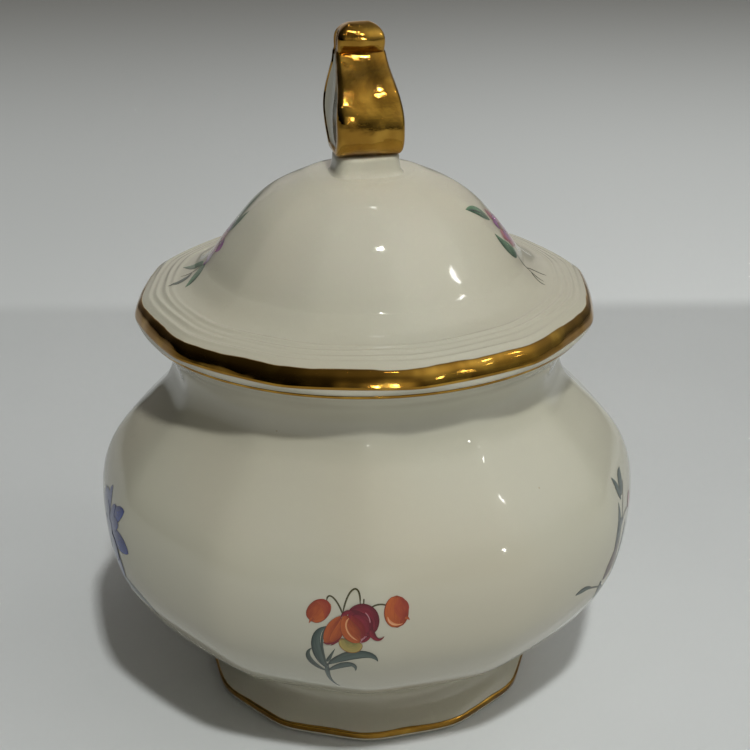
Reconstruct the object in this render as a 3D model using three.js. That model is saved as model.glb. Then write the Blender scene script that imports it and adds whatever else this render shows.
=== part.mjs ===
// Covered porcelain sugar bowl: lobed belly on a low foot, lid with a scroll finial.
// Millimetres, +Z up, origin at the centre of the foot's resting plane, front towards -Y.
import * as THREE from 'three';
import { mergeVertices } from 'three/addons/utils/BufferGeometryUtils.js';

// ---- driving dimensions ----
const LOBES = 12;               // shallow panels round the bowl, the foot and the lid
const STEPS_PER_LOBE = 6;
const LID_TURN = 12;            // how far the lid sits turned from the bowl's front, degrees

const FOOT_RADIUS = 33.5;       // at the lobe corners
const FOOT_HEIGHT = 8;
const FOOT_WAIST = 28;          // where the foot meets the belly
const BELLY_RADIUS = 53.2;      // at the lobe corners
const BELLY_HEIGHT = 38.5;
const NECK_RADIUS = 37.6;
const MOUTH_RADIUS = 42.6;
const WALL = 2.7;
const RIM_HEIGHT = 77.6;        // top of the bowl's rim, where the lid rests

const BRIM_RADIUS = 43.9;       // lid edge at the lobe corners
const BRIM_EDGE = 5;            // height of the lid's edge
const CROWN_HEIGHT = 104.6;     // top of the dome
const CROWN_RADIUS = 9.2;
const COLLAR_RADIUS = 34;       // locating collar under the lid
const COLLAR_WALL = 2.6;
const COLLAR_DEPTH = 6.5;

const PLINTH_HEIGHT = 3.6;      // small block under the scroll
const PLINTH_WIDTH = 12;
const PLINTH_LENGTH = 9.4;
const PLINTH_FORWARD = 1.5;     // how far it stands in front of the axis
const SCROLL_HEIGHT = 22.8;
const SCROLL_WIDTH = 12.4;      // across its lower curl
const SCROLL_NECK_WIDTH = 9.2;  // just below its upper curl
const CURL_WIDTH = 8.8;         // across the upper curl

const FOOT_LOBE = 0.65;         // how far a panel's middle lies inside its corners
const BELLY_LOBE = 0.7;
const BRIM_LOBE = 0.65;
const DOME_LOBE = 0.3;

// ---- materials ----
const ivory = () => new THREE.MeshStandardMaterial({ color: 0xe2dcc8, roughness: 0.12, metalness: 0 });
const gilt = () => new THREE.MeshStandardMaterial({ color: 0xb98a2e, roughness: 0.16, metalness: 1 });

// ---- helpers ----
const smooth = (points, steps) => {
  const curve = new THREE.SplineCurve(points.map(([r, z]) => new THREE.Vector2(r, z)));
  return curve.getPoints(steps);
};

const line = (points) => points.map(([r, z]) => new THREE.Vector2(r, z));

const ramp = (x, low, high) => THREE.MathUtils.smoothstep(x, low, high);

// Keeps only positions, joins the seam and stands the turned shape up along +Z.
const solid = (geometry) => {
  geometry.deleteAttribute('normal');
  geometry.deleteAttribute('uv');
  const merged = mergeVertices(geometry, 1e-4);
  return merged;
};

// Turns a closed profile round the axis, then draws the middle of each lobe inwards by depth(r, z).
const turned = (profile, depth) => {
  const geometry = new THREE.LatheGeometry(profile, LOBES * STEPS_PER_LOBE);
  geometry.rotateX(Math.PI / 2);
  const merged = solid(geometry);
  const position = merged.attributes.position;
  const pitch = (2 * Math.PI) / LOBES;
  for (let i = 0; i < position.count; i += 1) {
    const x = position.getX(i);
    const y = position.getY(i);
    const z = position.getZ(i);
    const radius = Math.hypot(x, y);
    if (radius > 1e-6) {
      const turns = Math.atan2(x, -y) / pitch;
      const fromCorner = Math.abs(turns - Math.round(turns)) * 2;
      const drawn = radius - depth(radius, z) * (1 - (1 - fromCorner) ** 2);
      position.setXYZ(i, (x * drawn) / radius, (y * drawn) / radius, z);
    }
  }
  merged.computeVertexNormals();
  return merged;
};

const mesh = (name, geometry, material) => {
  const piece = new THREE.Mesh(geometry, material);
  piece.name = name;
  return piece;
};

// ---- foot ring ----
const footProfile = [
  ...line([
    [25, FOOT_HEIGHT],
    [26.2, 3.4],
    [29.6, 0.5],
    [30.2, 0],
    [FOOT_RADIUS - 1.2, 0],
    [FOOT_RADIUS - 0.2, 0.7],
  ]),
  ...smooth([
    [FOOT_RADIUS, 2.2],
    [FOOT_RADIUS - 1.4, 3.3],
    [FOOT_WAIST + 1.6, 5],
    [FOOT_WAIST, FOOT_HEIGHT],
  ], 5),
  new THREE.Vector2(25, FOOT_HEIGHT),
];
const footDepth = (r, z) => FOOT_LOBE * ramp(r, 25, 31) * (1 - 0.5 * ramp(z, 2, FOOT_HEIGHT));
const footRing = mesh('foot_ring', turned(footProfile, footDepth), ivory());

// ---- bowl ----
const bowlOuter = [
  [FOOT_WAIST, FOOT_HEIGHT],
  [39.2, 15.6],
  [44.9, 20.4],
  [49.1, 26],
  [52.1, 32],
  [BELLY_RADIUS, BELLY_HEIGHT],
  [52.7, 45],
  [50.5, 50.6],
  [46.6, 55.6],
  [42.4, 59.8],
  [39.1, 63.5],
  [NECK_RADIUS, 68],
  [38.6, 72.4],
  [40.8, 75.2],
  [MOUTH_RADIUS - 0.1, RIM_HEIGHT - 0.9],
];
const bowlInner = [
  [MOUTH_RADIUS - 3.4, RIM_HEIGHT - 0.8],
  [36.2, 73.6],
  [NECK_RADIUS - WALL, 68],
  [37.2, 62],
  [42.8, 56],
  [49.4, 47],
  [BELLY_RADIUS - WALL, BELLY_HEIGHT],
  [48.8, 30.6],
  [42.8, 22],
  [35.4, 16.2],
  [24, 12.6],
  [12, 11.7],
];
const bowlProfile = [
  new THREE.Vector2(0, FOOT_HEIGHT),
  ...smooth(bowlOuter, 17),
  ...line([
    [MOUTH_RADIUS - 0.6, RIM_HEIGHT],
    [MOUTH_RADIUS - 2.6, RIM_HEIGHT],
  ]),
  ...smooth(bowlInner, 13),
  new THREE.Vector2(0, 11.6),
];
const bowlDepth = (r, z) => {
  const below = ramp(r, 24, 34);
  const above = 1 - ramp(z, RIM_HEIGHT - 8, RIM_HEIGHT - 1);
  return BELLY_LOBE * below * above;
};
const bowl = mesh('bowl', turned(bowlProfile, bowlDepth), ivory());

// ---- lid ----
const lidOuter = [
  [BRIM_RADIUS - 0.5, RIM_HEIGHT + BRIM_EDGE - 0.8],
  [BRIM_RADIUS - 2, RIM_HEIGHT + BRIM_EDGE],
  [37.6, RIM_HEIGHT + BRIM_EDGE + 1],
  [33.6, RIM_HEIGHT + BRIM_EDGE + 2.2],
  [30.4, 87.2],
  [27.9, 90.6],
  [25, 94.2],
  [21.6, 98],
  [17.6, 101.1],
  [13.2, 103.2],
  [CROWN_RADIUS, CROWN_HEIGHT],
];
const lidInner = [
  [12, 100.9],
  [17.6, 98],
  [21.6, 94],
  [24.6, 89.8],
  [27.2, 85.6],
  [30.4, 81.6],
  [COLLAR_RADIUS - COLLAR_WALL, RIM_HEIGHT],
];
const lidProfile = [
  new THREE.Vector2(0, 102),
  ...smooth(lidInner, 9),
  ...line([
    [COLLAR_RADIUS, RIM_HEIGHT],
    [BRIM_RADIUS - 1.8, RIM_HEIGHT],
    [BRIM_RADIUS - 0.7, RIM_HEIGHT + 0.7],
    [BRIM_RADIUS - 0.1, RIM_HEIGHT + 1.9],
    [BRIM_RADIUS, RIM_HEIGHT + 3.2],
  ]),
  ...smooth(lidOuter, 14),
  new THREE.Vector2(0, CROWN_HEIGHT),
];
const lidDepth = (r, z) => {
  const edge = BRIM_LOBE * ramp(r, 38, 42);
  const dome = DOME_LOBE * ramp(r, 12, 20) * (z > RIM_HEIGHT + 1 ? 1 : 0) * (1 - ramp(r, 38, 42));
  return edge + dome;
};
const lid = mesh('lid', turned(lidProfile, lidDepth), ivory());

// ---- locating collar under the lid ----
const collarInner = COLLAR_RADIUS - COLLAR_WALL;
const collarBottom = RIM_HEIGHT - COLLAR_DEPTH;
const collarProfile = line([
  [collarInner, RIM_HEIGHT],
  [collarInner + 0.2, collarBottom + 0.7],
  [collarInner + 0.9, collarBottom],
  [COLLAR_RADIUS - 1.1, collarBottom],
  [COLLAR_RADIUS - 0.4, collarBottom + 0.7],
  [COLLAR_RADIUS, RIM_HEIGHT],
  [collarInner, RIM_HEIGHT],
]);
const collar = mesh('lid_collar', turned(collarProfile, () => 0), ivory());

// ---- plinth under the scroll: a rounded block, a little wider at its foot ----
const plinthTop = CROWN_HEIGHT + PLINTH_HEIGHT;
const plinthOutline = new THREE.Shape();
{
  const x = PLINTH_WIDTH / 2;
  const y = PLINTH_LENGTH / 2;
  const r = 3.2;
  plinthOutline.moveTo(x - r, -y);
  plinthOutline.absarc(x - r, r - y, r, -Math.PI / 2, 0, false);
  plinthOutline.absarc(x - r, y - r, r, 0, Math.PI / 2, false);
  plinthOutline.absarc(r - x, y - r, r, Math.PI / 2, Math.PI, false);
  plinthOutline.absarc(r - x, r - y, r, Math.PI, 1.5 * Math.PI, false);
}
const plinthGeometry = new THREE.ExtrudeGeometry(plinthOutline, {
  depth: PLINTH_HEIGHT,
  steps: 4,
  curveSegments: 6,
  bevelEnabled: false,
});
const plinth = mesh('finial_base', solid(plinthGeometry), ivory());
{
  const position = plinth.geometry.attributes.position;
  for (let i = 0; i < position.count; i += 1) {
    const z = position.getZ(i);
    const flare = 1 + 0.07 * (1 - z / PLINTH_HEIGHT) ** 2 - 0.03 * ramp(z, 0.8, PLINTH_HEIGHT);
    const x = position.getX(i) * flare;
    const y = position.getY(i) * flare - PLINTH_FORWARD;
    position.setXYZ(i, x, y, z + CROWN_HEIGHT);
  }
  plinth.geometry.computeVertexNormals();
}

// ---- scroll finial ----
// Flat sided: a large curl at its foot, a slope that leans back and a small curl on top.
// The outline is drawn in the plane of the scroll: u to the front, v up from the plinth.
const outline = new THREE.Shape();
outline.moveTo(-2.2, 0);
outline.lineTo(4.6, 0);
outline.bezierCurveTo(6.4, 0.4, 7.7, 1.8, 7.9, 3.8);
outline.bezierCurveTo(8.1, 6, 7.7, 8.2, 6.7, 10.2);
outline.bezierCurveTo(5.8, 12, 4.2, 13.3, 2.6, 14.4);
outline.bezierCurveTo(1, 15.5, -0.2, 16.4, -1, 17.6);
outline.bezierCurveTo(0.5, 18.4, 0.8, 20.1, -0.1, 21.3);
outline.bezierCurveTo(-1, 22.4, -2.3, SCROLL_HEIGHT, -3.5, SCROLL_HEIGHT);
outline.bezierCurveTo(-6, SCROLL_HEIGHT, -6.9, 20.9, -6.6, 19.2);
outline.bezierCurveTo(-6.4, 17.9, -6, 17.1, -6.4, 15.9);
outline.bezierCurveTo(-7.6, 14.4, -8.9, 11.8, -8.9, 9);
outline.bezierCurveTo(-8.9, 5.4, -5.8, 2, -2.2, 0);
const edge = 0.9;
const scrollGeometry = new THREE.ExtrudeGeometry(outline, {
  depth: SCROLL_WIDTH - 2 * edge,
  steps: 1,
  curveSegments: 4,
  bevelEnabled: true,
  bevelThickness: edge,
  bevelSize: edge,
  bevelOffset: -edge,
  bevelSegments: 2,
});
scrollGeometry.translate(0, 0, edge - SCROLL_WIDTH / 2);
const scroll = mesh('finial_scroll', solid(scrollGeometry), gilt());
{
  const position = scroll.geometry.attributes.position;
  for (let i = 0; i < position.count; i += 1) {
    const u = position.getX(i);
    const v = position.getY(i);
    const stem = THREE.MathUtils.lerp(SCROLL_WIDTH, SCROLL_NECK_WIDTH, ramp(v, 6, 18));
    const width = THREE.MathUtils.lerp(stem, CURL_WIDTH, ramp(v, 17.2, 18.2));
    const crown = Math.sqrt(1 - 0.8 * THREE.MathUtils.clamp((v - 20) / 2.8, 0, 1) ** 2);
    const across = (width * crown) / SCROLL_WIDTH;
    // u runs to the front, which is -Y; v runs up; the extrusion runs across, along X.
    position.setXYZ(i, -position.getZ(i) * across, -u, v + plinthTop);
  }
  scroll.geometry.computeVertexNormals();
}

// ---- assembly ----
const bowlGroup = new THREE.Group();
bowlGroup.add(footRing, bowl);

const lidGroup = new THREE.Group();
lidGroup.rotation.z = THREE.MathUtils.degToRad(LID_TURN);
lidGroup.add(lid, collar, plinth, scroll);

const group = new THREE.Group();
group.name = 'covered_sugar_bowl';
group.add(bowlGroup, lidGroup);

export default group;
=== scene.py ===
import math

import bmesh
import bpy
from bpy.props import FloatProperty, FloatVectorProperty, IntProperty, PointerProperty
from bpy.types import Operator, Panel, PropertyGroup
from mathutils import Matrix, Vector
from mathutils.bvhtree import BVHTree


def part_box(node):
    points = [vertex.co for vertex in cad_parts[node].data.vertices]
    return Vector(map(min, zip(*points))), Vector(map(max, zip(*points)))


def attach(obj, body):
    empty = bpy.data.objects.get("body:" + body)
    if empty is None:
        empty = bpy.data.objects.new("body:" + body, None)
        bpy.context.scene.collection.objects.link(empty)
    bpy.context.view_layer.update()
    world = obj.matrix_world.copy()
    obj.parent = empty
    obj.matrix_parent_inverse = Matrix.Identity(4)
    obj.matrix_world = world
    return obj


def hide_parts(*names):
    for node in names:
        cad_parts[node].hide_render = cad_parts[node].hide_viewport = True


bl_info = {
    "name": "Covered Sugar Bowl",
    "version": (1, 0, 0),
    "blender": (4, 5, 0),
    "location": "3D View > Sidebar > Sugar Bowl",
    "description": "Makes a lobed porcelain sugar bowl with its lid, gilding and flower sprigs",
    "category": "Add Mesh",
}

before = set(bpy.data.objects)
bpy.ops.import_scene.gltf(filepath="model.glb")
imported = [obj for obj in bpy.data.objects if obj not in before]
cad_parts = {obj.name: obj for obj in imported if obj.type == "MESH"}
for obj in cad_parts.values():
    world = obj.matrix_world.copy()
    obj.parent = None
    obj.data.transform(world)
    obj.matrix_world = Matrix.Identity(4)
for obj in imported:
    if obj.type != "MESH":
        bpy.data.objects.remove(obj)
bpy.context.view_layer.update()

MM = 0.001
BOWL_BODY = "bowl_body"
LID_BODY = "lid_body"


def top_of(node):
    """Height of the top of a CAD node, in millimetres."""
    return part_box(node)[1].z / MM


def reach_of(node):
    """Furthest reach of a CAD node to its right, in millimetres."""
    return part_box(node)[1].x / MM


# ---------------------------------------------------------------- settings


class BowlSizes(PropertyGroup):
    """Sizes that shape the porcelain."""

    lobes: IntProperty(
        name="Lobes", description="Shallow panels round the bowl and the lid",
        default=12, min=6, max=24)
    belly_lobe: FloatProperty(
        name="Belly lobe", description="How far a belly panel's middle lies inside its corners",
        default=0.7 * MM, min=0, max=3 * MM, precision=5, subtype="DISTANCE", unit="LENGTH")
    brim_lobe: FloatProperty(
        name="Brim lobe", description="How far a scallop of the brim lies inside its corners",
        default=0.65 * MM, min=0, max=3 * MM, precision=5, subtype="DISTANCE", unit="LENGTH")
    foot_lobe: FloatProperty(
        name="Foot lobe", description="How far a foot panel's middle lies inside its corners",
        default=0.65 * MM, min=0, max=3 * MM, precision=5, subtype="DISTANCE", unit="LENGTH")
    dome_lobe: FloatProperty(
        name="Dome lobe", description="How far a dome panel's middle lies inside its corners",
        default=0.3 * MM, min=0, max=2 * MM, precision=5, subtype="DISTANCE", unit="LENGTH")
    lid_turn: FloatProperty(
        name="Lid turn", description="How far the lid rests turned from the bowl's front",
        default=math.radians(12), subtype="ANGLE", unit="ROTATION")
    rib_height: FloatProperty(
        name="Rib height", description="Height of the fine ribs on the brim",
        default=0.26 * MM, min=0, max=1 * MM, precision=5, subtype="DISTANCE", unit="LENGTH")
    steps: IntProperty(
        name="Steps", description="Facets round each turned piece",
        default=288, min=48, max=480)


class BowlFinishes(PropertyGroup):
    """Colours and gloss of the glaze, the gold and the prints."""

    ivory: FloatVectorProperty(
        name="Ivory", description="Colour of the glaze",
        default=(0.445, 0.428, 0.348), size=3, min=0, max=1, subtype="COLOR")
    ivory_warm: FloatVectorProperty(
        name="Warm ivory", description="Colour of the glaze where it lies thicker",
        default=(0.44, 0.412, 0.328), size=3, min=0, max=1, subtype="COLOR")
    gold: FloatVectorProperty(
        name="Gold", description="Colour of the polished gold film",
        default=(0.50, 0.285, 0.05), size=3, min=0, max=1, subtype="COLOR")
    gold_worn: FloatVectorProperty(
        name="Thin gold", description="Colour of the gold film where it lies thin",
        default=(0.33, 0.17, 0.027), size=3, min=0, max=1, subtype="COLOR")
    glaze_gloss: FloatProperty(
        name="Glaze roughness", description="Roughness of the glaze",
        default=0.07, min=0, max=1, subtype="FACTOR")
    gold_gloss: FloatProperty(
        name="Gold roughness", description="Roughness of the gold film",
        default=0.10, min=0, max=1, subtype="FACTOR")


class StageSettings(PropertyGroup):
    """Floor, lamps and camera."""

    floor: FloatVectorProperty(
        name="Floor", description="Colour of the floor",
        default=(0.635, 0.65, 0.66), size=3, min=0, max=1, subtype="COLOR")
    lens: FloatProperty(
        name="Lens", description="Focal length of the camera in millimetres",
        default=69.6, min=20, max=200)
    ceiling_power: FloatProperty(
        name="Ceiling power", description="Power of the small lamp high in front",
        default=4.7, min=0, max=50, unit="POWER")
    room: FloatProperty(
        name="Room light", description="Strength of the soft light from the room",
        default=1.0, min=0, max=10)


# ---------------------------------------------------------------- outlines


def ramp(x, low, high):
    """0 below low, 1 above high, and smooth between them."""
    t = min(max((x - low) / (high - low), 0.0), 1.0)
    return t * t * (3 - 2 * t)


def smooth_line(knots, parts):
    """Points of the smooth line through the knots, with that many parts between each two."""
    knots = [Vector(k) for k in knots]
    ends = [knots[0], *knots, knots[-1]]
    line = []
    for a, b, c, d in zip(ends, ends[1:], ends[2:], ends[3:]):
        for k in range(parts):
            t = k / parts
            line.append(0.5 * (2 * b + (c - a) * t + (2 * a - 5 * b + 4 * c - d) * t * t
                               + (3 * b - a - 3 * c + d) * t ** 3))
    return line + [knots[-1]]


def eased(line, radius, sharpest=22, parts=4):
    """The same line with every corner sharper than that many degrees rounded off."""
    line = [Vector(p) for p in line]
    soft = [line[0]]
    for before, here, after in zip(line, line[1:], line[2:]):
        back = before - here
        ahead = after - here
        if math.degrees(back.angle(-ahead, 0)) < sharpest:
            soft.append(here)
            continue
        start = here + back.normalized() * min(radius, back.length * 0.45)
        end = here + ahead.normalized() * min(radius, ahead.length * 0.45)
        for k in range(parts + 1):
            t = k / parts
            soft.append(start.lerp(here, t).lerp(here.lerp(end, t), t))
    return soft + [line[-1]]


FOOT_RADIUS = 33.5
FOOT_HEIGHT = top_of("foot_ring")
FOOT_WAIST = 28.0
BELLY_RADIUS = reach_of("bowl")
RIM_HEIGHT = top_of("bowl")
MOUTH_RADIUS = 42.6
NECK_RADIUS = 37.6
BRIM_RADIUS = 43.9
CROWN_HEIGHT = top_of("lid")
PLINTH_TOP = top_of("finial_base")
COLLAR_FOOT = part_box("lid_collar")[0].z / MM
COLLAR_INNER = 31.4
COLLAR_OUTER = 34.0
RIB_RADII = (41.0, 39.45, 38.0, 36.6)
RIB_WIDTH = 0.46


def belly_wall():
    """Outside of the bowl from its foot up to the rim."""
    return smooth_line([
        (FOOT_WAIST, FOOT_HEIGHT), (39.2, 15.6), (44.9, 20.4), (49.1, 26.0), (52.1, 32.0),
        (BELLY_RADIUS, 38.5), (52.7, 45.0), (50.5, 50.6), (46.6, 55.6), (42.4, 59.8),
        (39.1, 63.5), (NECK_RADIUS, 68.0), (38.6, 72.4), (40.8, 75.2),
        (MOUTH_RADIUS - 0.15, RIM_HEIGHT - 0.7)], 7)


def hollow_wall():
    """Inside of the bowl from its rim down to the middle of the floor."""
    return smooth_line([
        (MOUTH_RADIUS - 3.4, RIM_HEIGHT - 0.8), (36.2, 73.6), (NECK_RADIUS - 2.7, 68.0),
        (37.2, 62.0), (42.8, 56.0), (49.4, 47.0), (BELLY_RADIUS - 2.7, 38.5), (48.8, 30.6),
        (42.8, 22.0), (35.4, 16.2), (24.0, 12.6), (12.0, 11.7)], 4)


def bowl_outline():
    """The bowl from the middle of its underside, over the rim and down to its floor."""
    rim = [(MOUTH_RADIUS, RIM_HEIGHT - 0.15), (MOUTH_RADIUS - 0.25, RIM_HEIGHT),
           (MOUTH_RADIUS - 2.6, RIM_HEIGHT)]
    return eased([(0, FOOT_HEIGHT), (20, FOOT_HEIGHT), *belly_wall(), *rim,
                  *hollow_wall(), (0, 11.6)], 0.5)


def foot_outline():
    """The foot ring, closed, with the clay that fillets it to the belly."""
    outside = smooth_line([
        (FOOT_RADIUS, 2.2), (FOOT_RADIUS - 1.4, 3.3), (FOOT_WAIST + 1.6, 5.0),
        (FOOT_WAIST + 0.5, 7.2), (FOOT_WAIST + 1.5, 9.1)], 6)
    return eased([
        (22.6, FOOT_HEIGHT + 0.2), (25.0, FOOT_HEIGHT - 1.2), (26.2, 3.4), (29.6, 0.5),
        (30.2, 0), (FOOT_RADIUS - 1.2, 0), (FOOT_RADIUS - 0.2, 0.7), *outside,
        (FOOT_WAIST, FOOT_HEIGHT + 0.6), (22.6, FOOT_HEIGHT + 0.2)], 0.5, sharpest=14)


def brim_and_dome():
    """Outside of the lid from the top of its edge to the plinth."""
    brim = smooth_line([
        (BRIM_RADIUS - 0.05, RIM_HEIGHT + 1.8), (BRIM_RADIUS - 0.3, RIM_HEIGHT + 2.7),
        (BRIM_RADIUS - 0.75, RIM_HEIGHT + 3.7), (BRIM_RADIUS - 1.5, RIM_HEIGHT + 4.5),
        (BRIM_RADIUS - 2.8, RIM_HEIGHT + 5.1),
        (37.6, RIM_HEIGHT + 6.0), (33.6, RIM_HEIGHT + 7.2), (30.4, 87.2)], 30)
    dome = smooth_line([
        (33.6, RIM_HEIGHT + 7.2), (30.4, 87.2), (27.9, 90.6), (25.0, 94.2), (21.6, 98.0),
        (17.6, 101.1), (13.2, 103.2), (9.2, CROWN_HEIGHT)], 8)
    return brim, dome[8:]


def lid_outline():
    """The lid from the middle of its hollow, out to the brim and back over the dome."""
    inside = smooth_line([
        (12.0, 100.9), (17.6, 98.0), (21.6, 94.0), (24.6, 89.8), (27.2, 85.6), (30.4, 81.6),
        (COLLAR_INNER, RIM_HEIGHT)], 5)
    edge = [(BRIM_RADIUS - 1.2, RIM_HEIGHT + 0.02), (BRIM_RADIUS - 0.7, RIM_HEIGHT + 0.25),
            (BRIM_RADIUS - 0.3, RIM_HEIGHT + 0.7), (BRIM_RADIUS - 0.05, RIM_HEIGHT + 1.2)]
    brim, dome = brim_and_dome()
    ring = [Vector((p.x, p.y + 0.16 * math.exp(-((p.x - 11.0) / 1.3) ** 2))) for p in dome]
    return eased([(0, 102), *inside, *edge, *brim, *ring, (0, CROWN_HEIGHT)], 0.35)


def collar_outline():
    """The locating collar under the lid, closed."""
    inner, outer = COLLAR_INNER, COLLAR_OUTER
    return eased([
        (inner + 1.2, RIM_HEIGHT + 0.4), (inner - 0.05, RIM_HEIGHT + 0.3),
        (inner + 0.2, COLLAR_FOOT + 0.7), (inner + 0.9, COLLAR_FOOT), (outer - 1.1, COLLAR_FOOT),
        (outer - 0.4, COLLAR_FOOT + 0.7), (outer, RIM_HEIGHT + 0.1), (outer - 0.6, RIM_HEIGHT + 0.4),
        (inner + 1.2, RIM_HEIGHT + 0.4)], 0.45)


# ---------------------------------------------------------------- mesh helpers


def turned(outline, steps):
    """A bmesh turned on the wheel from an outline of radius and height, starting at the front."""
    bm = bmesh.new()
    verts = [bm.verts.new((0, -p[0] * MM, p[1] * MM)) for p in outline]
    edges = [bm.edges.new(pair) for pair in zip(verts, verts[1:])]
    bmesh.ops.spin(bm, geom=verts + edges, cent=(0, 0, 0), axis=(0, 0, 1), dvec=(0, 0, 0),
                   angle=math.tau, steps=steps, use_merge=True, use_normal_flip=False,
                   use_duplicate=False)
    bmesh.ops.remove_doubles(bm, verts=bm.verts, dist=0.002 * MM)
    bmesh.ops.recalc_face_normals(bm, faces=bm.faces)
    return bm


def scallop(bm, lobes, depth, softness=0.1):
    """Draws the middle of each lobe inwards by depth, which is a length for a radius and height."""
    full = math.sqrt(1 + softness ** 2) - softness
    for v in bm.verts:
        radius = v.co.xy.length
        if radius < MM:
            continue
        part = math.atan2(v.co.x, -v.co.y) * lobes / math.tau
        away = abs(part - round(part)) * 2
        away = (math.sqrt(away ** 2 + softness ** 2) - softness) / full
        pull = depth(radius / MM, v.co.z / MM) * (1 - (1 - away) ** 2)
        v.co.xy *= (radius - pull) / radius


def uneven(bm, amount, pitch):
    """Lets the hand-finished wall wander by a small amount, the same each time."""
    for v in bm.verts:
        radius = v.co.xy.length
        if radius < 2 * MM:
            continue
        turn = math.atan2(v.co.x, -v.co.y)
        wave = (math.sin(3 * turn + v.co.z / pitch) + math.sin(5 * turn - 0.7 * v.co.z / pitch + 1.3)
                + 0.6 * math.sin(11 * turn + 2.1))
        v.co.xy *= 1 - amount * ramp(radius / MM, 10, 30) * (1 + wave / 2.6) / 2 / radius


def raise_ribs(bm, height):
    """Raises the fine ribs round the top of the brim, a little unevenly."""
    for v in bm.verts:
        radius, up = v.co.xy.length / MM, v.co.z / MM
        on_top = ramp(up, RIM_HEIGHT + 4.2, RIM_HEIGHT + 4.8)
        turn = math.atan2(v.co.x, -v.co.y)
        for index, rib in enumerate(RIB_RADII):
            drift = 0.16 * math.sin(4 * turn + 2.2 * index) + 0.08 * math.sin(12 * turn)
            strength = 0.72 + 0.28 * math.sin(5 * turn + 1.9 * index)
            v.co.z += height * on_top * strength * math.exp(-((radius - rib - drift) / RIB_WIDTH) ** 2)


def finished(bm, name, materials, sharp=46):
    """The bmesh as an object at the origin, smooth but for edges sharper than that many degrees."""
    for face in bm.faces:
        face.smooth = True
    for edge in bm.edges:
        edge.smooth = not (len(edge.link_faces) == 2 and edge.calc_face_angle(0) > math.radians(sharp))
    mesh = bpy.data.meshes.new(name)
    bm.to_mesh(mesh)
    bm.free()
    for material in materials:
        mesh.materials.append(material)
    piece = bpy.data.objects.new(name, mesh)
    bpy.context.scene.collection.objects.link(piece)
    return piece


# ---------------------------------------------------------------- material helpers

SPECK_COLOUR = (0.30, 0.24, 0.16)
BARE_CLAY = (0.74, 0.71, 0.64)
WORN_GILDING = (0.26, 0.13, 0.03)


def new_material(name):
    """An empty node material: its node tree and the material itself."""
    material = bpy.data.materials.new(name)
    material.use_nodes = True
    material.node_tree.nodes.clear()
    return material.node_tree, material


def node(tree, kind, inputs=None, **settings):
    """A node of that kind with its settings, and each input given a value or a link."""
    made = tree.nodes.new(kind)
    for key, value in settings.items():
        setattr(made, key, value)
    for key, value in (inputs or {}).items():
        if isinstance(value, bpy.types.NodeSocket):
            tree.links.new(value, made.inputs[key])
        else:
            made.inputs[key].default_value = value
    return made


def calc(tree, operation, a, b=0.0, clamp=False):
    """The result of one sum on two values or sockets."""
    return node(tree, "ShaderNodeMath", {0: a, 1: b}, operation=operation, use_clamp=clamp).outputs[0]


def between(tree, value, low, high, to_low=0.0, to_high=1.0):
    """Value brought smoothly from the range low to high into the second range."""
    return node(tree, "ShaderNodeMapRange", {
        "Value": value, "From Min": low, "From Max": high, "To Min": to_low, "To Max": to_high,
    }, interpolation_type="SMOOTHSTEP").outputs["Result"]


def blend_colour(tree, share, a, b):
    """Colour a where share is 0 and b where it is 1."""
    mix = node(tree, "ShaderNodeMix", {0: share}, data_type="RGBA")
    for index, colour in ((6, a), (7, b)):
        if isinstance(colour, bpy.types.NodeSocket):
            tree.links.new(colour, mix.inputs[index])
        else:
            mix.inputs[index].default_value = (*colour, 1.0)
    return mix.outputs[2]


def grain(tree, place, scale, detail=2.0, stretch=None):
    """Noise of that many features a metre, optionally stretched along its axes."""
    if stretch:
        place = node(tree, "ShaderNodeMapping", {"Vector": place, "Scale": stretch}).outputs[0]
    return node(tree, "ShaderNodeTexNoise", {
        "Vector": place, "Scale": scale, "Detail": detail}).outputs[0]


def close_up(tree, surface):
    """Joins the surface shader to the material's output."""
    node(tree, "ShaderNodeOutputMaterial", {"Surface": surface})


def gilt_band(tree, height, wobble, radius, band):
    """1 on a band of gold between two heights, outside a radius, with hand-drawn edges."""
    low, high, least, wander = band
    top = calc(tree, "ADD", height, calc(tree, "MULTIPLY", wobble, wander * MM))
    foot = calc(tree, "ADD", height, calc(tree, "MULTIPLY", wobble, wander * 0.25 * MM))
    above = between(tree, foot, (low - 0.05) * MM, (low + 0.05) * MM)
    below = between(tree, top, (high - 0.07) * MM, (high + 0.07) * MM, 1.0, 0.0)
    outside = between(tree, radius, (least - 0.1) * MM, (least + 0.1) * MM)
    return calc(tree, "MULTIPLY", calc(tree, "MULTIPLY", above, below), outside)


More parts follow.
